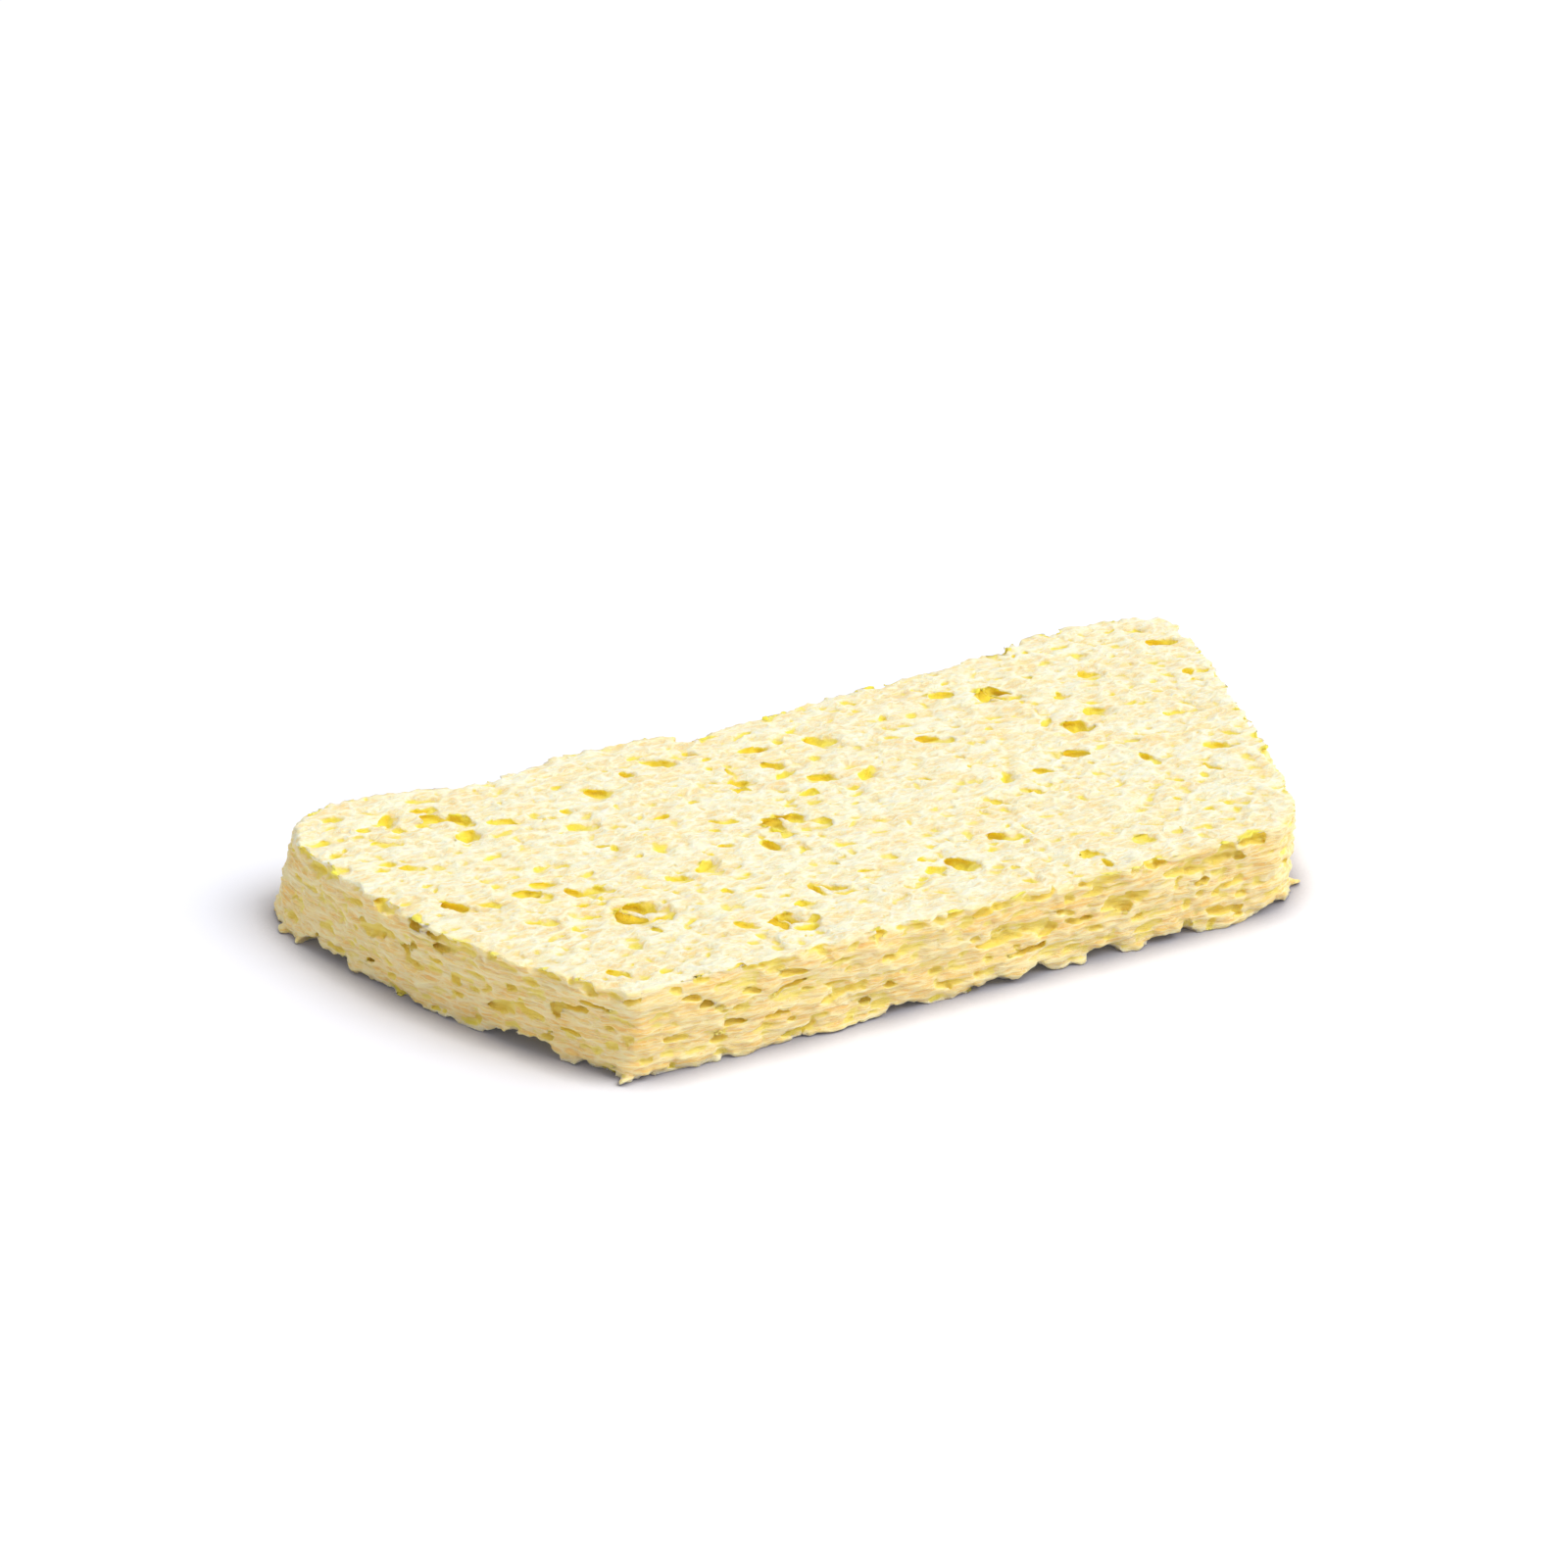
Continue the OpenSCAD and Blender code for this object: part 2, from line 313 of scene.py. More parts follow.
def scatter_bubbles(face_z, count, half_long, slimness, half_high, sunk):
    """Scatters bubbles that open through the face at height face_z."""
    inwards = -1 if face_z > 0 else 1
    shortest, longest = half_long
    for _ in range(count):
        long = shortest + (longest - shortest) * rng.random() ** 2
        wide = long * rng.uniform(*slimness)
        high = rng.uniform(*half_high)
        height = face_z + inwards * high * rng.uniform(*sunk)
        x, y = random_place()
        turn = rng.gauss(DRAWN_TURN, TURN_SPREAD)
        if depth_in_outline(x, y) > long + EDGE_GAP:
            add_bubble(Vector((x, y, height)), (long, wide, high), turn)


for _ in range(SMALL_PORES):
    long = SHORTEST_PORE + PORE_LENGTH_RANGE * rng.random() ** 2
    wide = long * rng.uniform(*PORE_SLIMNESS)
    x, y = random_place()
    if depth_in_outline(x, y) > long / 2 + EDGE_GAP:
        add_pore(x, y, long, wide, rng.uniform(*PORE_DEPTH), rng.gauss(DRAWN_TURN, TURN_SPREAD))
scatter_bubbles(
    THICK, ROUND_PITS,
    half_long=(0.35, 0.8), slimness=(0.45, 0.8), half_high=(0.2, 0.3), sunk=(-0.1, 0.4),
)
scatter_bubbles(
    THICK, LONG_MARKS,
    half_long=(0.6, 2.2), slimness=(0.25, 0.5), half_high=(0.16, 0.26), sunk=(-0.4, 0.1),
)
print("bubbles with the top:", len(bubbles))
scatter_bubbles(
    0, UNDERSIDE_PITS,
    half_long=(0.5, 1.8), slimness=(0.4, 0.8), half_high=(0.25, 0.5), sunk=(-0.3, 0.8),
)
print("bubbles with the underside:", len(bubbles))

# %% [markdown]
# The walls were cut through rows of squashed bubbles. Each row follows the outline all
# the way round, wanders up and down a little, and has thin struts between its slits.
# Thinner slits lie between the rows.

# %% Line the walls with slits
LAYER_T = THICK / LAYERS
ROW_WANDER = 0.7
ROW_WAVES = 0.16
LATEST_START = 4
SLIT_INWARDS = (-0.2, 0.5)
SLIT_PITCH = (0.8, 1.0)
BETWEEN_ROWS = 0.45
WIDE_SLITS = {
    "half_long": (0.6, 2.8),
    "half_high": (0.18, 0.34),
    "half_deep": (0.3, 0.6),
    "strut": (0.3, 1.5),
}
THIN_SLITS = {
    "half_long": (0.4, 1.4),
    "half_high": (0.16, 0.22),
    "half_deep": (0.25, 0.45),
    "strut": (0.6, 2.2),
}


def slit_row(height, half_long, half_high, half_deep, strut):
    """Makes one row of slits round the whole outline."""
    points = outline(height / THICK)
    wait = rng.uniform(0, LATEST_START)
    for here, following in zip(points, points[1:] + points[:1]):
        step = following - here
        wait -= step.length
        if wait > 0 or step.length == 0:
            continue
        long = rng.triangular(*half_long, half_long[0])
        inwards = Vector((-step.y, step.x)).normalized() * rng.uniform(*SLIT_INWARDS)
        up = ROW_WANDER * noise.noise(Vector((here.x, here.y, height)) * ROW_WAVES)
        place = Vector((here.x + inwards.x, here.y + inwards.y, height + up))
        size = (long, rng.uniform(*half_deep), rng.uniform(*half_high))
        add_bubble(place, size, math.degrees(math.atan2(step.y, step.x)))
        wait = 2 * long * rng.uniform(*SLIT_PITCH) + rng.uniform(*strut)


for row in range(LAYERS):
    middle = (row + 0.5) * LAYER_T
    slit_row(middle, **WIDE_SLITS)
    slit_row(middle + BETWEEN_ROWS * LAYER_T, **THIN_SLITS)
print("bubbles with the slits:", len(bubbles))

# %% [markdown]
# Here and there a wall is torn deeper. Such a slot is made of two bubbles, the second a
# little further along and higher than the first, so that its rim isn't a plain ellipse.

# %% Deeper slots: wall, place along it, share of the height, length and height
WALL_SLOTS = [
    (LEFT, 0.40, 0.62, 5.5, 1.0),
    (LEFT, 0.76, 0.42, 6.0, 1.2),
    (LEFT, 0.62, 0.86, 5.0, 0.9),
    (LEFT, 0.22, 0.90, 4.0, 0.9),
    (FRONT, 0.56, 0.55, 8.0, 1.1),
    (FRONT, 0.84, 0.80, 8.5, 1.1),
    (FRONT, 0.72, 0.62, 5.0, 1.0),
    (FRONT, 0.30, 0.40, 5.0, 0.9),
    (RIGHT, 0.35, 0.50, 5.0, 1.0),
    (BACK, 0.30, 0.60, 7.0, 1.1),
    (BACK, 0.75, 0.45, 6.0, 1.0),
]
SLOT_HALVES = [(-0.2, -0.15), (0.2, 0.15)]
SLOT_HALF_LONG = 0.34
SLOT_HALF_DEEP = 0.8
for wall, along, share, long, high in WALL_SLOTS:
    for shift, lift in SLOT_HALVES:
        spot = wall_point(wall, along + shift * long / wall_length(wall), share)
        middle = Vector((spot.x, spot.y, share * THICK + lift * high))
        add_bubble(middle, (long * SLOT_HALF_LONG, SLOT_HALF_DEEP, high / 2), wall_turn(wall))
print("bubbles with the deeper slots:", len(bubbles))

# %% Bites out of the foot: wall, place along it, width, height and depth
BITES = [
    (LEFT, 0.22, 3.6, 1.25, 1.8),
    (LEFT, 0.29, 5.0, 0.6, 1.2),
    (LEFT, 0.76, 9.0, 1.15, 1.6),
    (FRONT, 0.39, 4.4, 0.6, 1.3),
    (FRONT, 0.52, 3.4, 0.6, 1.2),
    (FRONT, 0.585, 4.0, 1.0, 1.5),
    (FRONT, 0.695, 4.4, 1.1, 1.6),
    (FRONT, 0.80, 5.4, 0.65, 1.4),
    (FRONT, 0.97, 4.0, 0.7, 1.3),
    (RIGHT, 0.45, 6.0, 1.4, 1.8),
    (BACK, 0.25, 7.0, 1.4, 2.0),
    (BACK, 0.70, 5.0, 1.4, 1.8),
]
BITE_REACH = 1.8
for wall, along, wide, high, deep in BITES:
    spot = wall_point(wall, along, 0)
    bite = (wide / 2, deep * BITE_REACH, high)
    add_bubble(Vector((spot.x, spot.y, 0)), bite, wall_turn(wall))
print("bubbles with the bites:", len(bubbles))

# %% Chips out of the foot, and nicks in the top edge: ranges of half length, depth and height
CHIPS = 70
CHIP_SIZES = [(0.5, 1.6), (0.4, 0.8), (0.2, 0.4)]
NICKS = 90
NICK_SIZES = [(0.5, 2.0), (0.3, 0.8), (0.25, 0.5)]
NICK_LOWEST = 0.6
for _ in range(CHIPS):
    wall = rng.randrange(4)
    spot = wall_point(wall, rng.random(), 0)
    chip = [rng.uniform(*sizes) for sizes in CHIP_SIZES]
    add_bubble(Vector((spot.x, spot.y, 0)), chip, wall_turn(wall))
for _ in range(NICKS):
    wall = rng.randrange(4)
    spot = wall_point(wall, rng.random(), 1)
    nick = [rng.uniform(*sizes) for sizes in NICK_SIZES]
    height = THICK - rng.uniform(0, NICK_LOWEST)
    add_bubble(Vector((spot.x, spot.y, height)), nick, wall_turn(wall))
print("all bubbles:", len(bubbles))

# %% [markdown]
# Making thousands of icospheres in one bmesh is slow, because each operator call walks
# through everything that is there. So they are made in small batches, and each batch is
# added to the whole.

# %% Make the bubbles
BATCH = 30


def make_bubbles(places):
    """One bmesh with an icosphere at every place."""
    whole = bmesh.new()
    for start in range(0, len(places), BATCH):
        batch = bmesh.new()
        for place in places[start:start + BATCH]:
            bmesh.ops.create_icosphere(batch, subdivisions=2, radius=1, matrix=place)
        mesh = bpy.data.meshes.new("batch")
        batch.to_mesh(mesh)
        batch.free()
        whole.from_mesh(mesh)
        bpy.data.meshes.remove(mesh)
    return whole


bubble_object = as_object(make_bubbles(bubbles), "bubbles")
print("bubbles:", len(bubble_object.data.polygons), "triangles")

# %% [markdown]
# ## Cutting the bubbles out
# A voxel remesh joins all the overlapping bubbles into one clean surface. A Boolean
# then takes that surface out of the slab, and a second remesh gives the result an even
# grain, fine enough to be torn and bent.

# %% Cut and remesh
VOXEL = 0.17


def apply_modifier(obj, kind, **settings):
    """Adds a modifier, keeps its result as the object's mesh and drops the modifier."""
    modifier = obj.modifiers.new(kind.lower(), kind)
    for name, value in settings.items():
        setattr(modifier, name, value)
    evaluated = obj.evaluated_get(bpy.context.evaluated_depsgraph_get())
    mesh = bpy.data.meshes.new_from_object(evaluated)
    obj.modifiers.clear()
    obj.data = mesh
    print(kind.lower(), "leaves", len(mesh.polygons), "faces")


apply_modifier(bubble_object, "REMESH", mode="VOXEL", voxel_size=VOXEL)
apply_modifier(sponge, "BOOLEAN", operation="DIFFERENCE", object=bubble_object, solver="MANIFOLD")
bpy.data.objects.remove(bubble_object)

# %% [markdown]
# A few shreds of torn sponge stick out at the foot, and ledges of broken cell wall cross
# the larger pores. Each is a stretched icosphere that overlaps the slab, and the second
# remesh grows it on.

# %% Shreds at the foot: wall, place along it, half width, reach outwards and half height
SHREDS = [
    (LEFT, 0.985, 0.55, 1.2, 0.4),
    (LEFT, 0.13, 0.6, 0.6, 0.4),
    (LEFT, 0.18, 0.4, 0.6, 0.35),
    (FRONT, 0.28, 2.6, 0.4, 0.4),
    (FRONT, 0.655, 0.8, 0.4, 0.4),
    (FRONT, 0.745, 0.7, 0.5, 0.4),
    (FRONT, 0.90, 2.6, 0.4, 0.4),
    (RIGHT, 0.09, 0.6, 1.1, 0.4),
]
SHRED_LIFT = 0.7


def grow(bm, place, turn, half_size):
    """Adds a stretched icosphere that overlaps the slab."""
    matrix = Matrix.Translation(place)
    matrix @= Matrix.Rotation(math.radians(turn), 4, "Z") @ Matrix.Diagonal((*half_size, 1))
    bmesh.ops.create_icosphere(bm, subdivisions=2, radius=1, matrix=matrix)


bm = bmesh.new()
bm.from_mesh(sponge.data)
for wall, along, half_wide, out, half_high in SHREDS:
    spot = wall_point(wall, along, 0)
    place = Vector((spot.x, spot.y, half_high * SHRED_LIFT))
    grow(bm, place, wall_turn(wall), (half_wide, out, half_high))
print("slab with its shreds:", len(bm.faces), "faces")

# %% Ledges: two in each large pore, each of two pieces that meet at a bend
LEDGES = [(-0.16, 0.24), (0.16, 0.2)]
LEDGE_PIECES = [(-0.12, -20), (0.16, 16)]
LEDGE_LEAN = 30
LEDGE_HALF_LONG = 0.25
LEDGE_HALF_WIDE = (0.05, 0.09)
LEDGE_HALF_HIGH = 0.16
for x, y, long, wide, deep, turn in LARGE_PORES:
    if long <= LARGE_PORE:
        continue
    for side, low in LEDGES:
        lean = turn + rng.uniform(-LEDGE_LEAN, LEDGE_LEAN)
        for step, bend in LEDGE_PIECES:
            middle = Vector((x, y + side * wide, THICK - low * deep))
            place = middle + direction(lean) * long * step
            half_wide = wide * rng.uniform(*LEDGE_HALF_WIDE)
            grow(bm, place, lean + bend, (long * LEDGE_HALF_LONG, half_wide, LEDGE_HALF_HIGH))
bm.to_mesh(sponge.data)
bm.free()
apply_modifier(sponge, "REMESH", mode="VOXEL", voxel_size=VOXEL)

# %% [markdown]
# ## Tearing and bending
# Real cell walls are never true ellipsoids. Each vertex is moved by smooth vector noises:
# a slow one that makes the layers wander, a quick one that frays the rims, and one that
# slides the layers over each other. The vertical part is small, because the sponge was
# pressed flat. The vector noise takes its start from the clock unless it is given a seed,
# and with one the sponge comes out the same on every run.

# %% The bends
BEND_SEED = 7
SLOW_WAVES = 0.33
SLOW_MM = 0.35
QUICK_WAVES = 1.1
QUICK_MM = 0.21
UPRIGHT = 0.5
LAYER_WAVES = Vector((0.15, 0.15, 0.8))
LAYER_MM = 0.32


def stray(p):
    """How far the torn sponge strays from its regular shapes at a point, in millimetres."""
    move = noise.noise_vector(p * SLOW_WAVES) * SLOW_MM
    move += noise.noise_vector(p * QUICK_WAVES) * QUICK_MM
    slide = noise.noise_vector(p * LAYER_WAVES) * LAYER_MM
    return Vector((move.x + slide.x, move.y + slide.y, move.z * UPRIGHT))


noise.seed_set(BEND_SEED)
print("a bend at the middle of the top:", stray(Vector((0, 0, THICK))))

# %% [markdown]
# Then the surface gets its relief along its own normals. Every squashed cell just below
# the skin is a shallow dent, and thin crests stand between them. On the cut walls the
# cells lie flat and the crests follow the layers.

# %% The relief
FACE_CELLS = Vector((0.4, 0.75, 0.75))
FACE_CELL_MM = 0.17
WALL_CELLS = Vector((0.3, 0.3, 1.35))
WALL_CELL_MM = 0.2
FINE_WAVES = Vector((0.9, 0.9, 2.6))
FINE_MM = 0.06
RIDGES = Vector((0.22, 0.22, 2.2))
RIDGE_MM = 0.1
CELL_WALL = 0.45
CREST_SLOPE = 3
TO_DRAWN = Matrix.Rotation(math.radians(-DRAWN_TURN), 3, "Z")


def cell_floor(p, cells):
    """0 on the walls between squashed cells and 1 inside them."""
    distances = noise.voronoi(p * cells)[0]
    return min((distances[1] - distances[0]) / CELL_WALL, 1)


def crest(p, waves):
    """1 on thin crests, where a noise crosses its middle, and less away from them."""
    return 1 - CREST_SLOPE * abs(noise.noise(p * waves))


def relief(p, normal):
    """How far the surface stands proud at a point, in millimetres."""
    on_face = FACE_CELL_MM * cell_floor(TO_DRAWN @ p, FACE_CELLS)
    on_wall = WALL_CELL_MM * cell_floor(p, WALL_CELLS)
    cell = on_wall + (on_face - on_wall) * abs(normal.z)
    ridge = RIDGE_MM * crest(p, RIDGES) * (1 - abs(normal.z))
    return ridge + FINE_MM * crest(p, FINE_WAVES) - cell


print("the relief there:", relief(Vector((0, 0, THICK)), Vector((0, 0, 1))), "mm")

# %% [markdown]
# Bubbles that don't open to the outside are deleted before the surface is bent, since
# they would only be hidden triangles.

# %% Keep the outer surface and bend it
def largest_skin(bm):
    """The vertices of the largest connected surface."""
    best = []
    for vert in bm.verts:
        vert.tag = False
    for start in bm.verts:
        if start.tag:
            continue
        start.tag = True
        group, open_ends = [start], [start]
        while open_ends:
            for edge in open_ends.pop().link_edges:
                for vert in edge.verts:
                    if not vert.tag:
                        vert.tag = True
                        group.append(vert)
                        open_ends.append(vert)
        if len(group) > len(best):
            best = group
    return set(best)


bm = bmesh.new()
bm.from_mesh(sponge.data)
bm.normal_update()
outer = largest_skin(bm)
bmesh.ops.delete(bm, geom=[v for v in bm.verts if v not in outer], context="VERTS")
for vert in bm.verts:
    vert.co += stray(vert.co) + vert.normal * relief(vert.co, vert.normal)
bm.to_mesh(sponge.data)
bm.free()
print("outer surface:", len(sponge.data.vertices), "vertices")

# %% [markdown]
# The mesh now has some 900,000 triangles. Few of them are needed on the underside and
# deep inside the bubbles, so these are thinned first, and hard. The rest then keeps more
# of its detail when the whole mesh is brought down to its limit.

# %% Thin the mesh
MOST_TRIANGLES = 195_000
UNSEEN_KEPT = 0.12
UNSEEN_DEPTH = 1.4
UNDERSIDE = 0.5
RIM = 2.0


def is_unseen(p):
    """Whether a point lies deep below the skin, or on the underside away from its rim."""
    if depth_below_skin(p) > UNSEEN_DEPTH:
        return True
    return p.z < UNDERSIDE and depth_in_outline(p.x, p.y) > RIM


unseen = [vert.index for vert in sponge.data.vertices if is_unseen(vert.co)]
group = sponge.vertex_groups.new(name="unseen")
group.add(unseen, 1.0, "REPLACE")
unseen_share = len(unseen) / len(sponge.data.vertices)
apply_modifier(
    sponge, "DECIMATE",
    ratio=1 - unseen_share * (1 - UNSEEN_KEPT),
    vertex_group="unseen", vertex_group_factor=1.0,
)
sponge.vertex_groups.clear()
triangles = sum(len(face.vertices) - 2 for face in sponge.data.polygons)
apply_modifier(sponge, "DECIMATE", ratio=min(1.0, MOST_TRIANGLES / triangles))

# %% [markdown]
# ## How open each point lies
# The material paints shade in the hollows: a point turns a deeper yellow and gold where a
# bubble's wall hides it, for the shade there and the yellow light that scatters through the
# sponge. The material needs to know how hidden each point is. Rays are sent from each vertex
# wall hides it. The material needs to know which is which. Rays are sent from each vertex
# all round its outer side, and the share of them that soon meet the sponge again says
# how hidden the vertex is. Shallow marks hide little, so a second measure is added: a
# copy of the mesh is smoothed, and how far it rises over a vertex says how dented the
# sponge is there. The depth below the uncut slab's skin is added too, so that the floor of
# a wide pore isn't as pale as the skin. The sum is kept as an attribute, which the
# material reads.

# %% Measure how hidden each vertex is
RAYS = 14
RAY_MM = 2.6
START_MM = 0.04
GOLDEN_TURN = math.pi * (3 - math.sqrt(5))


def ray_directions(count):
    """Directions spread evenly over a ball, by a golden spiral."""
    directions = []
    for k in range(count):
        z = 1 - (2 * k + 1) / count
        across = math.sqrt(1 - z * z)
        x = across * math.cos(GOLDEN_TURN * k)
        y = across * math.sin(GOLDEN_TURN * k)
        directions.append(Vector((x, y, z)))
    return directions


def hidden_share(tree, vert, directions):
    """The share of a vertex's rays that soon meet the sponge again."""
    total = hidden = 0
    start = vert.co + vert.normal * START_MM
    for ray in directions:
        facing = ray.dot(vert.normal)
        outwards = ray if facing > 0 else -ray
        total += abs(facing)
        if tree.ray_cast(start, outwards, RAY_MM)[0] is not None:
            hidden += abs(facing)
    return hidden / total


mesh = sponge.data
bm = bmesh.new()
bm.from_mesh(mesh)
bm.normal_update()
tree = BVHTree.FromBMesh(bm)
directions = ray_directions(RAYS)
shares = [hidden_share(tree, vert, directions) for vert in bm.verts]
smooth = [
    (shares[vert.index] + sum(shares[edge.other_vert(vert).index] for edge in vert.link_edges))
    / (1 + len(vert.link_edges))
    for vert in bm.verts
]
print("hidden shares, in tenths:", [sum(int(s * 10) == k for s in smooth) for k in range(10)])

# %% Measure how dented the surface is
SMOOTHINGS = 24
SMOOTH_FACTOR = 0.5
DENT_WEIGHT = 1.5
DEPTH_WEIGHT = 0.12
MOST_DEPTH = 1

soft = bm.copy()
for _ in range(SMOOTHINGS):
    bmesh.ops.smooth_vert(
        soft, verts=soft.verts, factor=SMOOTH_FACTOR,
        use_axis_x=True, use_axis_y=True, use_axis_z=True,
    )
dents = [(after.co - vert.co).dot(vert.normal) for vert, after in zip(bm.verts, soft.verts)]
soft.free()
depths = [min(max(depth_below_skin(vert.co), 0), MOST_DEPTH) for vert in bm.verts]
bm.free()
print("dents, from", min(dents), "to", max(dents), "mm")
# Painted shade: the material turns hidden points yellow and gold by this value, for the shade and
# scattered yellow light in the hollows.
hollow = mesh.attributes.new("hollow", "FLOAT", "POINT")
hollow.data.foreach_set("value", [
    share + DENT_WEIGHT * dent + DEPTH_WEIGHT * depth
    for share, dent, depth in zip(smooth, dents, depths)
])

# %% Mark the cut walls
SKIN_TO_CUT = 1.0


def cut_share(p):
    """1 on the cut walls, 0 on the pressed faces, with a short change between them."""
    wall_gap = depth_in_outline(p.x, p.y)
    face_gap = min(p.z, THICK - p.z)
    return min(max((face_gap - wall_gap) / SKIN_TO_CUT + 0.5, 0), 1)


cut_wall = mesh.attributes.new("cut_wall", "FLOAT", "POINT")
cut_wall.data.foreach_set("value", [cut_share(vert.co) for vert in mesh.vertices])

# %% Bring the mesh to metres and to the frame's origin
to_metres = Matrix.Scale(MM, 4) @ Matrix.Translation((-MIDDLE.x, -MIDDLE.y, 0))
for vert in mesh.vertices:
    vert.co.z = max(vert.co.z, 0)
mesh.transform(to_metres)
mesh.shade_smooth()
mesh.materials.clear()
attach(sponge, "root")
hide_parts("sponge")

# %% [markdown]
# ## The material
# It is one matte material. The skin is a felt of cream fibres with peach showing between
# them. In the hollows it turns yellow and gold, as painted shade. On the cut walls the felt
# is painted a little darker and more orange than on the faces, as painted shade for walls
# that get less light than the top.

# %% Helpers for the node tree
# Where a Mix node has its two inputs and its output, for each type of data.
MIX_SOCKETS = {"FLOAT": (2, 3, 0), "VECTOR": (4, 5, 1), "RGBA": (6, 7, 2)}


def new_material(name):
    """A material with an empty node tree."""
    material = bpy.data.materials.new(name)
    material.use_nodes = True
    material.node_tree.nodes.clear()
    return material


def feed(material, socket, value):
    """Links an input to another node's output, or sets it to a plain value."""
    if isinstance(value, bpy.types.NodeSocket):
        material.node_tree.links.new(value, socket)
    else:
        socket.default_value = value


def add_node(material, kind, **inputs):
    """Adds a node and feeds the inputs that are named, with _ for a space."""
    node = material.node_tree.nodes.new(kind)
    for name, value in inputs.items():
        feed(material, node.inputs[name.replace("_", " ")], value)
    return node


def linear(red, green, blue):
    """A colour written as the eye sees it, from 0 to 255, as Blender's linear numbers."""
    parts = [part / 255 for part in (red, green, blue)]
    return (*[p / 12.92 if p <= 0.04045 else ((p + 0.055) / 1.055) ** 2.4 for p in parts], 1)


def ramp(material, factor, stops):
    """A colour ramp through (position, colour) stops."""
    node = add_node(material, "ShaderNodeValToRGB", Fac=factor)
    elements = node.color_ramp.elements
    while len(elements) < len(stops):
        elements.new(1)
    for element, (position, colour) in zip(elements, stops):
        element.position = position
        element.color = colour
    return node.outputs["Color"]


def blend(material, factor, first, second, data_type="RGBA"):
    """Mixes two colours, vectors or plain values by a factor."""
    node = add_node(material, "ShaderNodeMix")
    node.data_type = data_type
    first_input, second_input, output = MIX_SOCKETS[data_type]
    feed(material, node.inputs[0], factor)
    feed(material, node.inputs[first_input], first)
    feed(material, node.inputs[second_input], second)
    return node.outputs[output]


def remap(material, value, low, high, to_low=0.0, to_high=1.0):
    """Stretches the range from low to high over another one, and stops at its ends."""
    node = add_node(
        material, "ShaderNodeMapRange",
        Value=value, From_Min=low, From_Max=high, To_Min=to_low, To_Max=to_high,
    )
    return node.outputs["Result"]


def calculate(material, operation, *values):
    """A sum, product, maximum and so on of one or two values."""
    node = add_node(material, "ShaderNodeMath")
    node.operation = operation
    for socket, value in zip(node.inputs, values):
        feed(material, socket, value)
    return node.outputs[0]


# %% Where the surface is: skin or cut wall, open or hidden
UNEVEN = 0.09

cellulose = new_material("cellulose")


def attribute(name):
    """The value of one of the mesh's own attributes."""
    node = add_node(cellulose, "ShaderNodeAttribute")
    node.attribute_name = name
    return node.outputs["Fac"]


place = add_node(cellulose, "ShaderNodeTexCoord").outputs["Object"]
in_mm = add_node(cellulose, "ShaderNodeMapping", Vector=place, Scale=(1 / MM,) * 3).outputs[0]
cut_factor = attribute("cut_wall")
cloud = add_node(
    cellulose, "ShaderNodeTexNoise",
    Vector=in_mm, Scale=1.6, Detail=5.0, Roughness=0.65,
)
uneven = remap(
    cellulose, cloud.outputs["Fac"],
    low=0.3, high=0.7, to_low=-UNEVEN, to_high=UNEVEN,
)
hidden = calculate(cellulose, "ADD", attribute("hollow"), uneven)
print("material nodes so far:", len(cellulose.node_tree.nodes))

# %% [markdown]
# The fibres are finer than the mesh. They are a noise that is drawn out along the sponge
# and distorted into whorls, with a net of cell walls and of single strands over it. The
# cell walls are a Voronoi texture, read as the distance to the nearest wall between two
# cells. On the cut walls all of them lie flat, along the pressed layers.

# %% Fibres and cell walls
FACE_STRETCH = (0.55, 1.3, 1.3)
LAYER_STRETCH = (0.32, 0.32, 2.6)
NET_FROM = 0.14
NET_TO = 0.02
STRAND_HALF = 0.035
PATCHES = 0.12
BENT_SHARE = 0.5


def stretched(scale, turn=0.0):
    """The sponge's own space in millimetres, turned and stretched."""
    node = add_node(
        cellulose, "ShaderNodeMapping",
        Vector=in_mm, Rotation=(0, 0, turn), Scale=scale,
    )
    return node.outputs[0]


def felt(space, scale, whorl):
    """A drawn-out noise, distorted into whorls."""
    node = add_node(
        cellulose, "ShaderNodeTexNoise",
        Vector=space, Scale=scale, Detail=6.0, Roughness=0.62, Distortion=whorl,
    )
    return node.outputs["Fac"]


def cell_net(space, scale):
    """1 on the thin walls between cells and 0 inside them."""
    node = add_node(cellulose, "ShaderNodeTexVoronoi", Vector=space, Scale=scale)
    node.feature = "DISTANCE_TO_EDGE"
    return remap(cellulose, node.outputs["Distance"], NET_FROM, NET_TO)


def strands(space, scale, whorl):
    """1 on thin wandering fibres, where a noise crosses its middle, and 0 between them."""
    node = add_node(
        cellulose, "ShaderNodeTexNoise",
        Vector=space, Scale=scale, Detail=3.0, Distortion=whorl,
    )
    above = calculate(cellulose, "SUBTRACT", node.outputs["Fac"], 0.5)
    return remap(cellulose, calculate(cellulose, "ABSOLUTE", above), STRAND_HALF, 0.0)


def bent(space):
    """The same space, pushed about by a noise, so that a net in it isn't regular."""
    push = add_node(cellulose, "ShaderNodeTexNoise", Vector=space, Scale=0.9, Detail=3.0)
    return blend(cellulose, BENT_SHARE, space, push.outputs["Color"], "VECTOR")


def net_of(space, cells, strand_scale, whorl):
    """1 on cell walls and on single strands, and 0 between them."""
    walls = cell_net(bent(space), cells)
    return calculate(cellulose, "MAXIMUM", walls, strands(space, strand_scale, whorl))


def by_place(on_face, on_wall):
    """A value for the faces and another for the cut walls."""
    return blend(cellulose, cut_factor, on_face, on_wall, "FLOAT")


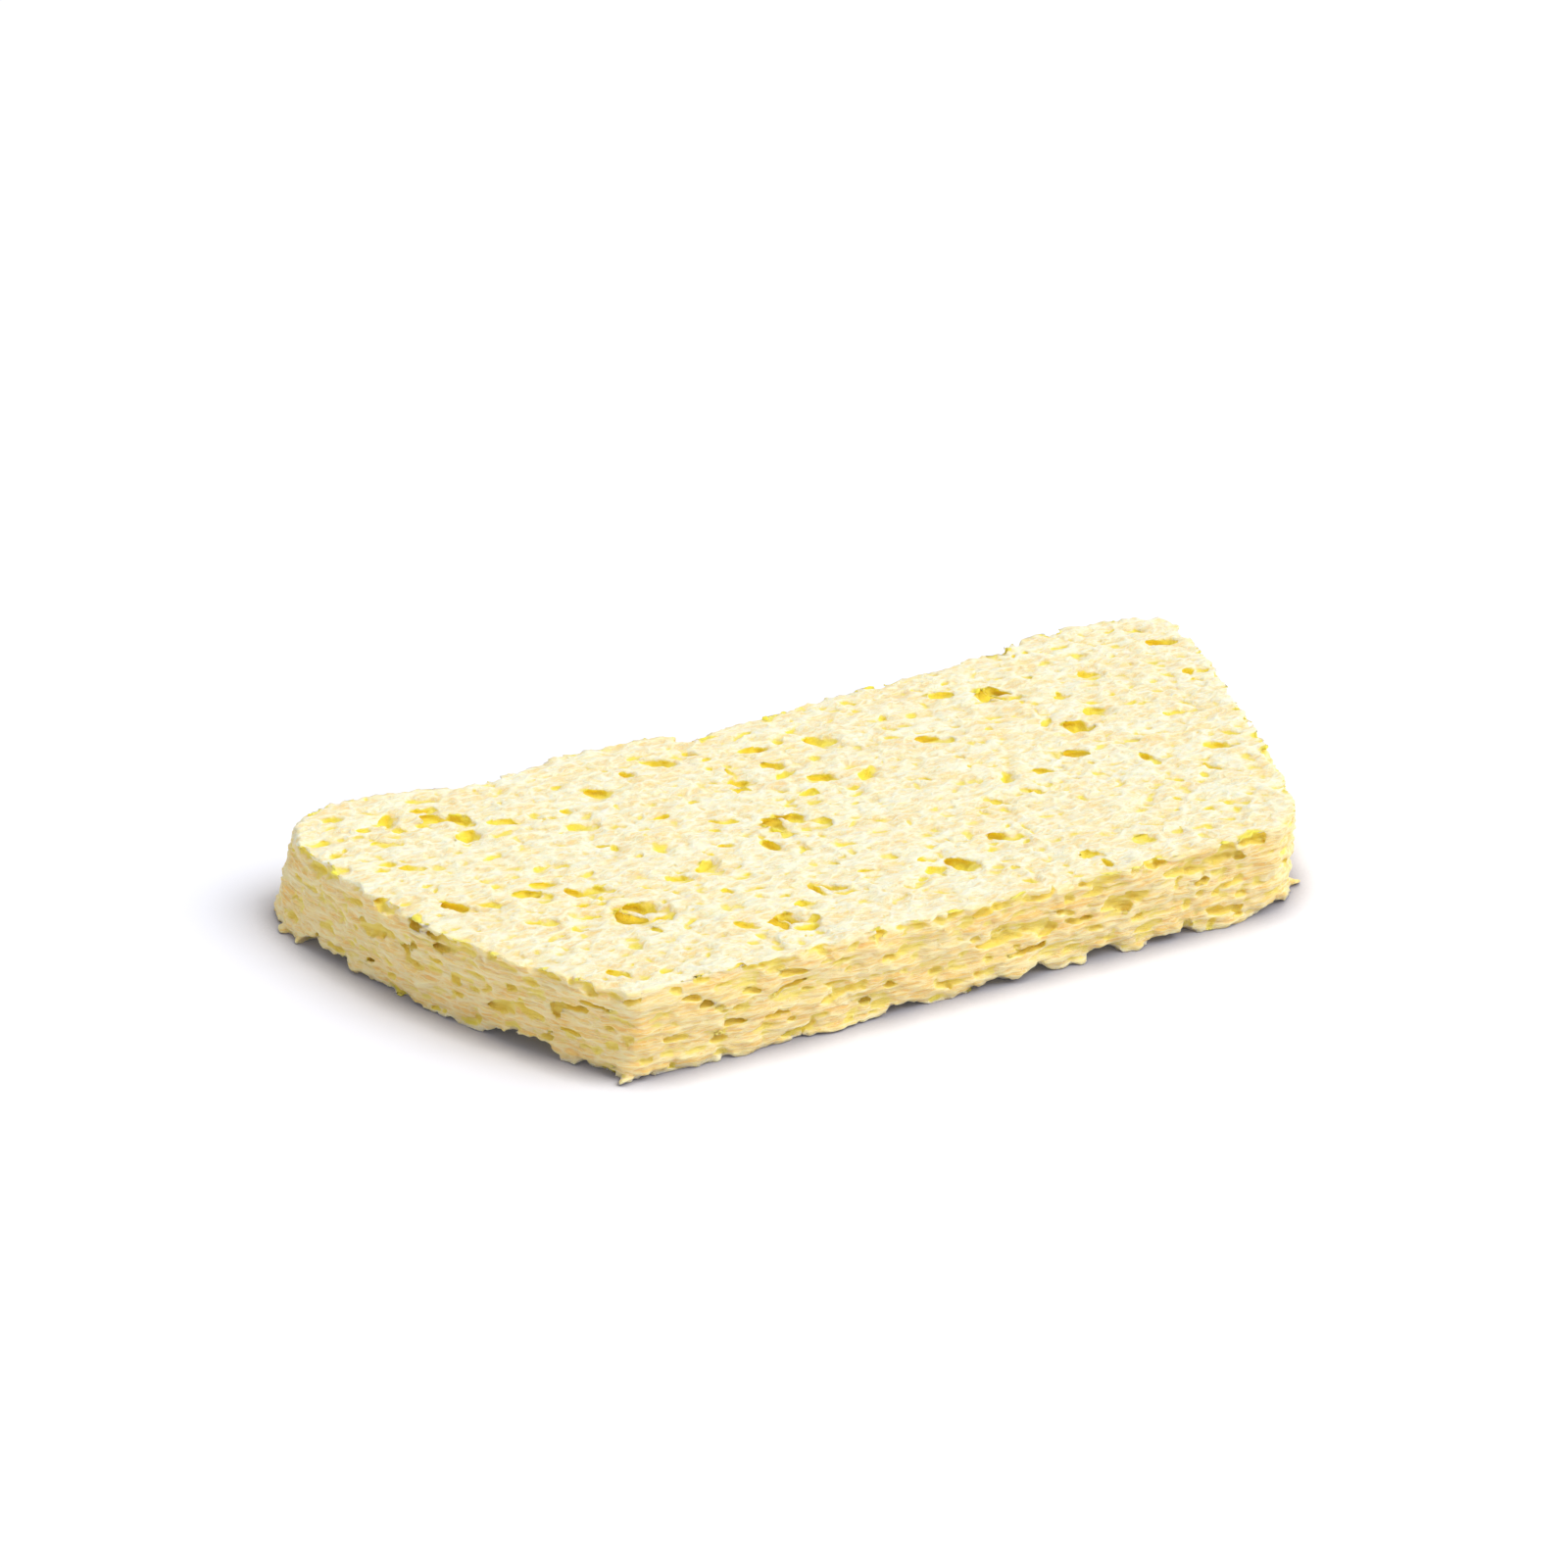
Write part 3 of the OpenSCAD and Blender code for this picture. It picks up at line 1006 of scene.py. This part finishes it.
face_space = stretched(FACE_STRETCH, turn=math.radians(-DRAWN_TURN))
layer_space = stretched(LAYER_STRETCH)
patches = by_place(
    felt(face_space, scale=0.32, whorl=0.6),
    felt(layer_space, scale=0.3, whorl=0.4),
)
fibres = by_place(
    felt(face_space, scale=1.5, whorl=1.2),
    felt(layer_space, scale=1.6, whorl=0.5),
)
net = by_place(
    net_of(face_space, cells=1.3, strand_scale=0.9, whorl=1.5),
    net_of(layer_space, cells=1.5, strand_scale=0.8, whorl=0.6),
)
patchy = remap(cellulose, patches, low=0.35, high=0.65, to_low=-PATCHES, to_high=PATCHES)
fibre_mix = calculate(cellulose, "ADD", fibres, patchy)
print("material nodes with the fibres:", len(cellulose.node_tree.nodes))

# %% The sponge's colours: stops along the fibre mix, and along how hidden a point is
# Painted light and shade: the felt is paler and creamier on the faces than on the cut walls, for
# the top's stronger light.
LIT_FACE_FELT = [
    (0.36, linear(253, 218, 158)),
    (0.5, linear(255, 232, 186)),
    (0.64, linear(255, 244, 216)),
]
SHADED_CUT_FELT = [
    (0.34, linear(250, 202, 122)),
    (0.5, linear(255, 214, 144)),
    (0.66, linear(255, 230, 178)),
]
# Painted shade: the colours that a point takes as it gets more hidden, yellow to gold.
FACE_CAVITY_SHADE = [
    (0.2, linear(253, 222, 156)),
    (0.34, linear(255, 229, 128)),
    (0.48, linear(255, 229, 102)),
    (0.8, linear(255, 227, 86)),
]
CUT_CAVITY_SHADE = [
    (0.2, linear(253, 226, 152)),
    (0.4, linear(253, 227, 130)),
    (0.8, linear(252, 225, 118)),
]
LIT_FACE_FIBRE = linear(255, 245, 220)
SHADED_CUT_FIBRE = linear(255, 234, 186)
FIBRE_SHARE = 0.65
CAVITY_SHADE_FROM = 0.1
CAVITY_SHADE_TO = 0.3


def ramps(factor, face_stops, cut_stops):
    """One ramp on the faces and another on the cut walls, along the same factor."""
    on_face = ramp(cellulose, factor, face_stops)
    return blend(cellulose, cut_factor, on_face, ramp(cellulose, factor, cut_stops))


# Painted light and shade: paler fibres on the faces, darker ones on the cut walls.
fibre_colour = blend(cellulose, cut_factor, LIT_FACE_FIBRE, SHADED_CUT_FIBRE)
fibre_share = calculate(cellulose, "MULTIPLY", net, FIBRE_SHARE)
netted = blend(cellulose, fibre_share, ramps(fibre_mix, LIT_FACE_FELT, SHADED_CUT_FELT), fibre_colour)
# Painted shade in the hollows, yellow to gold.
hollow_colour = ramps(hidden, FACE_CAVITY_SHADE, CUT_CAVITY_SHADE)
hollow_share = remap(cellulose, hidden, CAVITY_SHADE_FROM, CAVITY_SHADE_TO)
coloured = blend(cellulose, hollow_share, netted, hollow_colour)
print("material nodes with the colours:", len(cellulose.node_tree.nodes))

# %% Bump and surface
NET_HEIGHT = 0.4
BUMP_DEPTH = 0.3 * MM
LIGHT_REACH = 0.6 * MM

net_height = calculate(cellulose, "MULTIPLY", net, NET_HEIGHT)
height = calculate(cellulose, "ADD", fibres, net_height)
bump = add_node(cellulose, "ShaderNodeBump", Height=height, Strength=0.6, Distance=BUMP_DEPTH)
surface = add_node(
    cellulose, "ShaderNodeBsdfPrincipled",
    Base_Color=coloured,
    Normal=bump.outputs["Normal"],
    Roughness=0.95,
    Specular_IOR_Level=0.1,
    Subsurface_Weight=0.85,
    Subsurface_Radius=(0.9, 0.9, 0.5),
    Subsurface_Scale=LIGHT_REACH,
)
add_node(cellulose, "ShaderNodeOutputMaterial", Surface=surface.outputs["BSDF"])
mesh.materials.append(cellulose)
print("material nodes:", len(cellulose.node_tree.nodes))

# %% [markdown]
# ## Floor, light and camera
# The photograph is a cut-out on pure white with a thin soft shadow. The floor is white,
# and gets a little extra white for the camera alone, so that it stays white where no
# shadow falls. Right at the sponge's foot the photograph's shadow is darkest, and there
# an ambient occlusion node greys the paper.

# %% The floor
FLOOR_HALF = 3.0
PAPER_WHITE = (0.88, 0.89, 0.955, 1)
CONTACT_GREY = (0.3, 0.3, 0.35, 1)
CONTACT_REACH = 4.5 * MM
CONTACT_SAMPLES = 8
SHADED = 0.45
OPEN = 0.88
PAPER_GLOW = 0.03


def seen_share(material):
    """1 for rays that end at the camera, also by a mirror or glass, and 0 for the others."""
    path = add_node(material, "ShaderNodeLightPath").outputs
    direct = calculate(material, "MAXIMUM", path["Is Camera Ray"], path["Is Glossy Ray"])
    return calculate(material, "MAXIMUM", direct, path["Is Transmission Ray"])


floor_bm = bmesh.new()
bmesh.ops.create_grid(floor_bm, x_segments=1, y_segments=1, size=FLOOR_HALF)
floor = as_object(floor_bm, "floor")
paper = new_material("paper")
contact = add_node(paper, "ShaderNodeAmbientOcclusion", Distance=CONTACT_REACH)
contact.samples = CONTACT_SAMPLES
lit = remap(paper, contact.outputs["AO"], SHADED, OPEN)
paper_colour = blend(paper, lit, CONTACT_GREY, PAPER_WHITE)
matte = add_node(paper, "ShaderNodeBsdfDiffuse", Color=paper_colour)
glow_strength = calculate(paper, "MULTIPLY", seen_share(paper), PAPER_GLOW)
glow = add_node(paper, "ShaderNodeEmission", Color=(1, 1, 1, 1), Strength=glow_strength)
both = add_node(paper, "ShaderNodeAddShader")
feed(paper, both.inputs[0], matte.outputs[0])
feed(paper, both.inputs[1], glow.outputs[0])
add_node(paper, "ShaderNodeOutputMaterial", Surface=both.outputs[0])
floor.data.materials.append(paper)
print("paper nodes:", len(paper.node_tree.nodes))

# %% [markdown]
# A pale sky gives soft light from all sides, and a wide sun from the front right gives the
# sponge its darker left end and throws the soft shadow. Seen by the camera, the sky is
# pure white.

# %% The light
SKY_STRENGTH = 0.64
SUN_FROM = Vector((0.5, -0.42, 0.76))
SUN_STRENGTH = 2.1
SUN_WIDTH = math.radians(40)

world = bpy.data.worlds.new("studio")
world.use_nodes = True
background = world.node_tree.nodes["Background"]
background.inputs["Color"].default_value = (1, 1, 1, 1)
strength = calculate(world, "MAXIMUM", seen_share(world), SKY_STRENGTH)
feed(world, background.inputs["Strength"], strength)
bpy.context.scene.world = world


def point_at(obj, place, target):
    """Puts a lamp or camera at a place and turns it to face a target."""
    obj.location = place
    obj.rotation_euler = (target - place).to_track_quat("-Z", "Y").to_euler()


lamp = bpy.data.lights.new("key", "SUN")
lamp.angle = SUN_WIDTH
lamp.energy = SUN_STRENGTH
key = bpy.data.objects.new("key", lamp)
bpy.context.scene.collection.objects.link(key)
point_at(key, SUN_FROM, Vector((0, 0, 0)))
print("sun turned to", [round(math.degrees(turn), 1) for turn in key.rotation_euler])

# %% The camera, at the photograph's angle
CAMERA_PLACE = Vector((-157.7, -280.3, 167.3))
CAMERA_AIM = Vector((4.5, 21.85, 0))
LENS_MM = 90
SENSOR_MM = 36

to_origin = Vector((MIDDLE.x, MIDDLE.y, 0))
camera_data = bpy.data.cameras.new("camera")
camera_data.lens = LENS_MM
camera_data.sensor_width = SENSOR_MM
camera = bpy.data.objects.new("camera", camera_data)
bpy.context.scene.collection.objects.link(camera)
point_at(camera, (CAMERA_PLACE - to_origin) * MM, (CAMERA_AIM - to_origin) * MM)
bpy.context.scene.camera = camera
bpy.context.scene.view_settings.view_transform = "Standard"
print("camera at", camera.location)
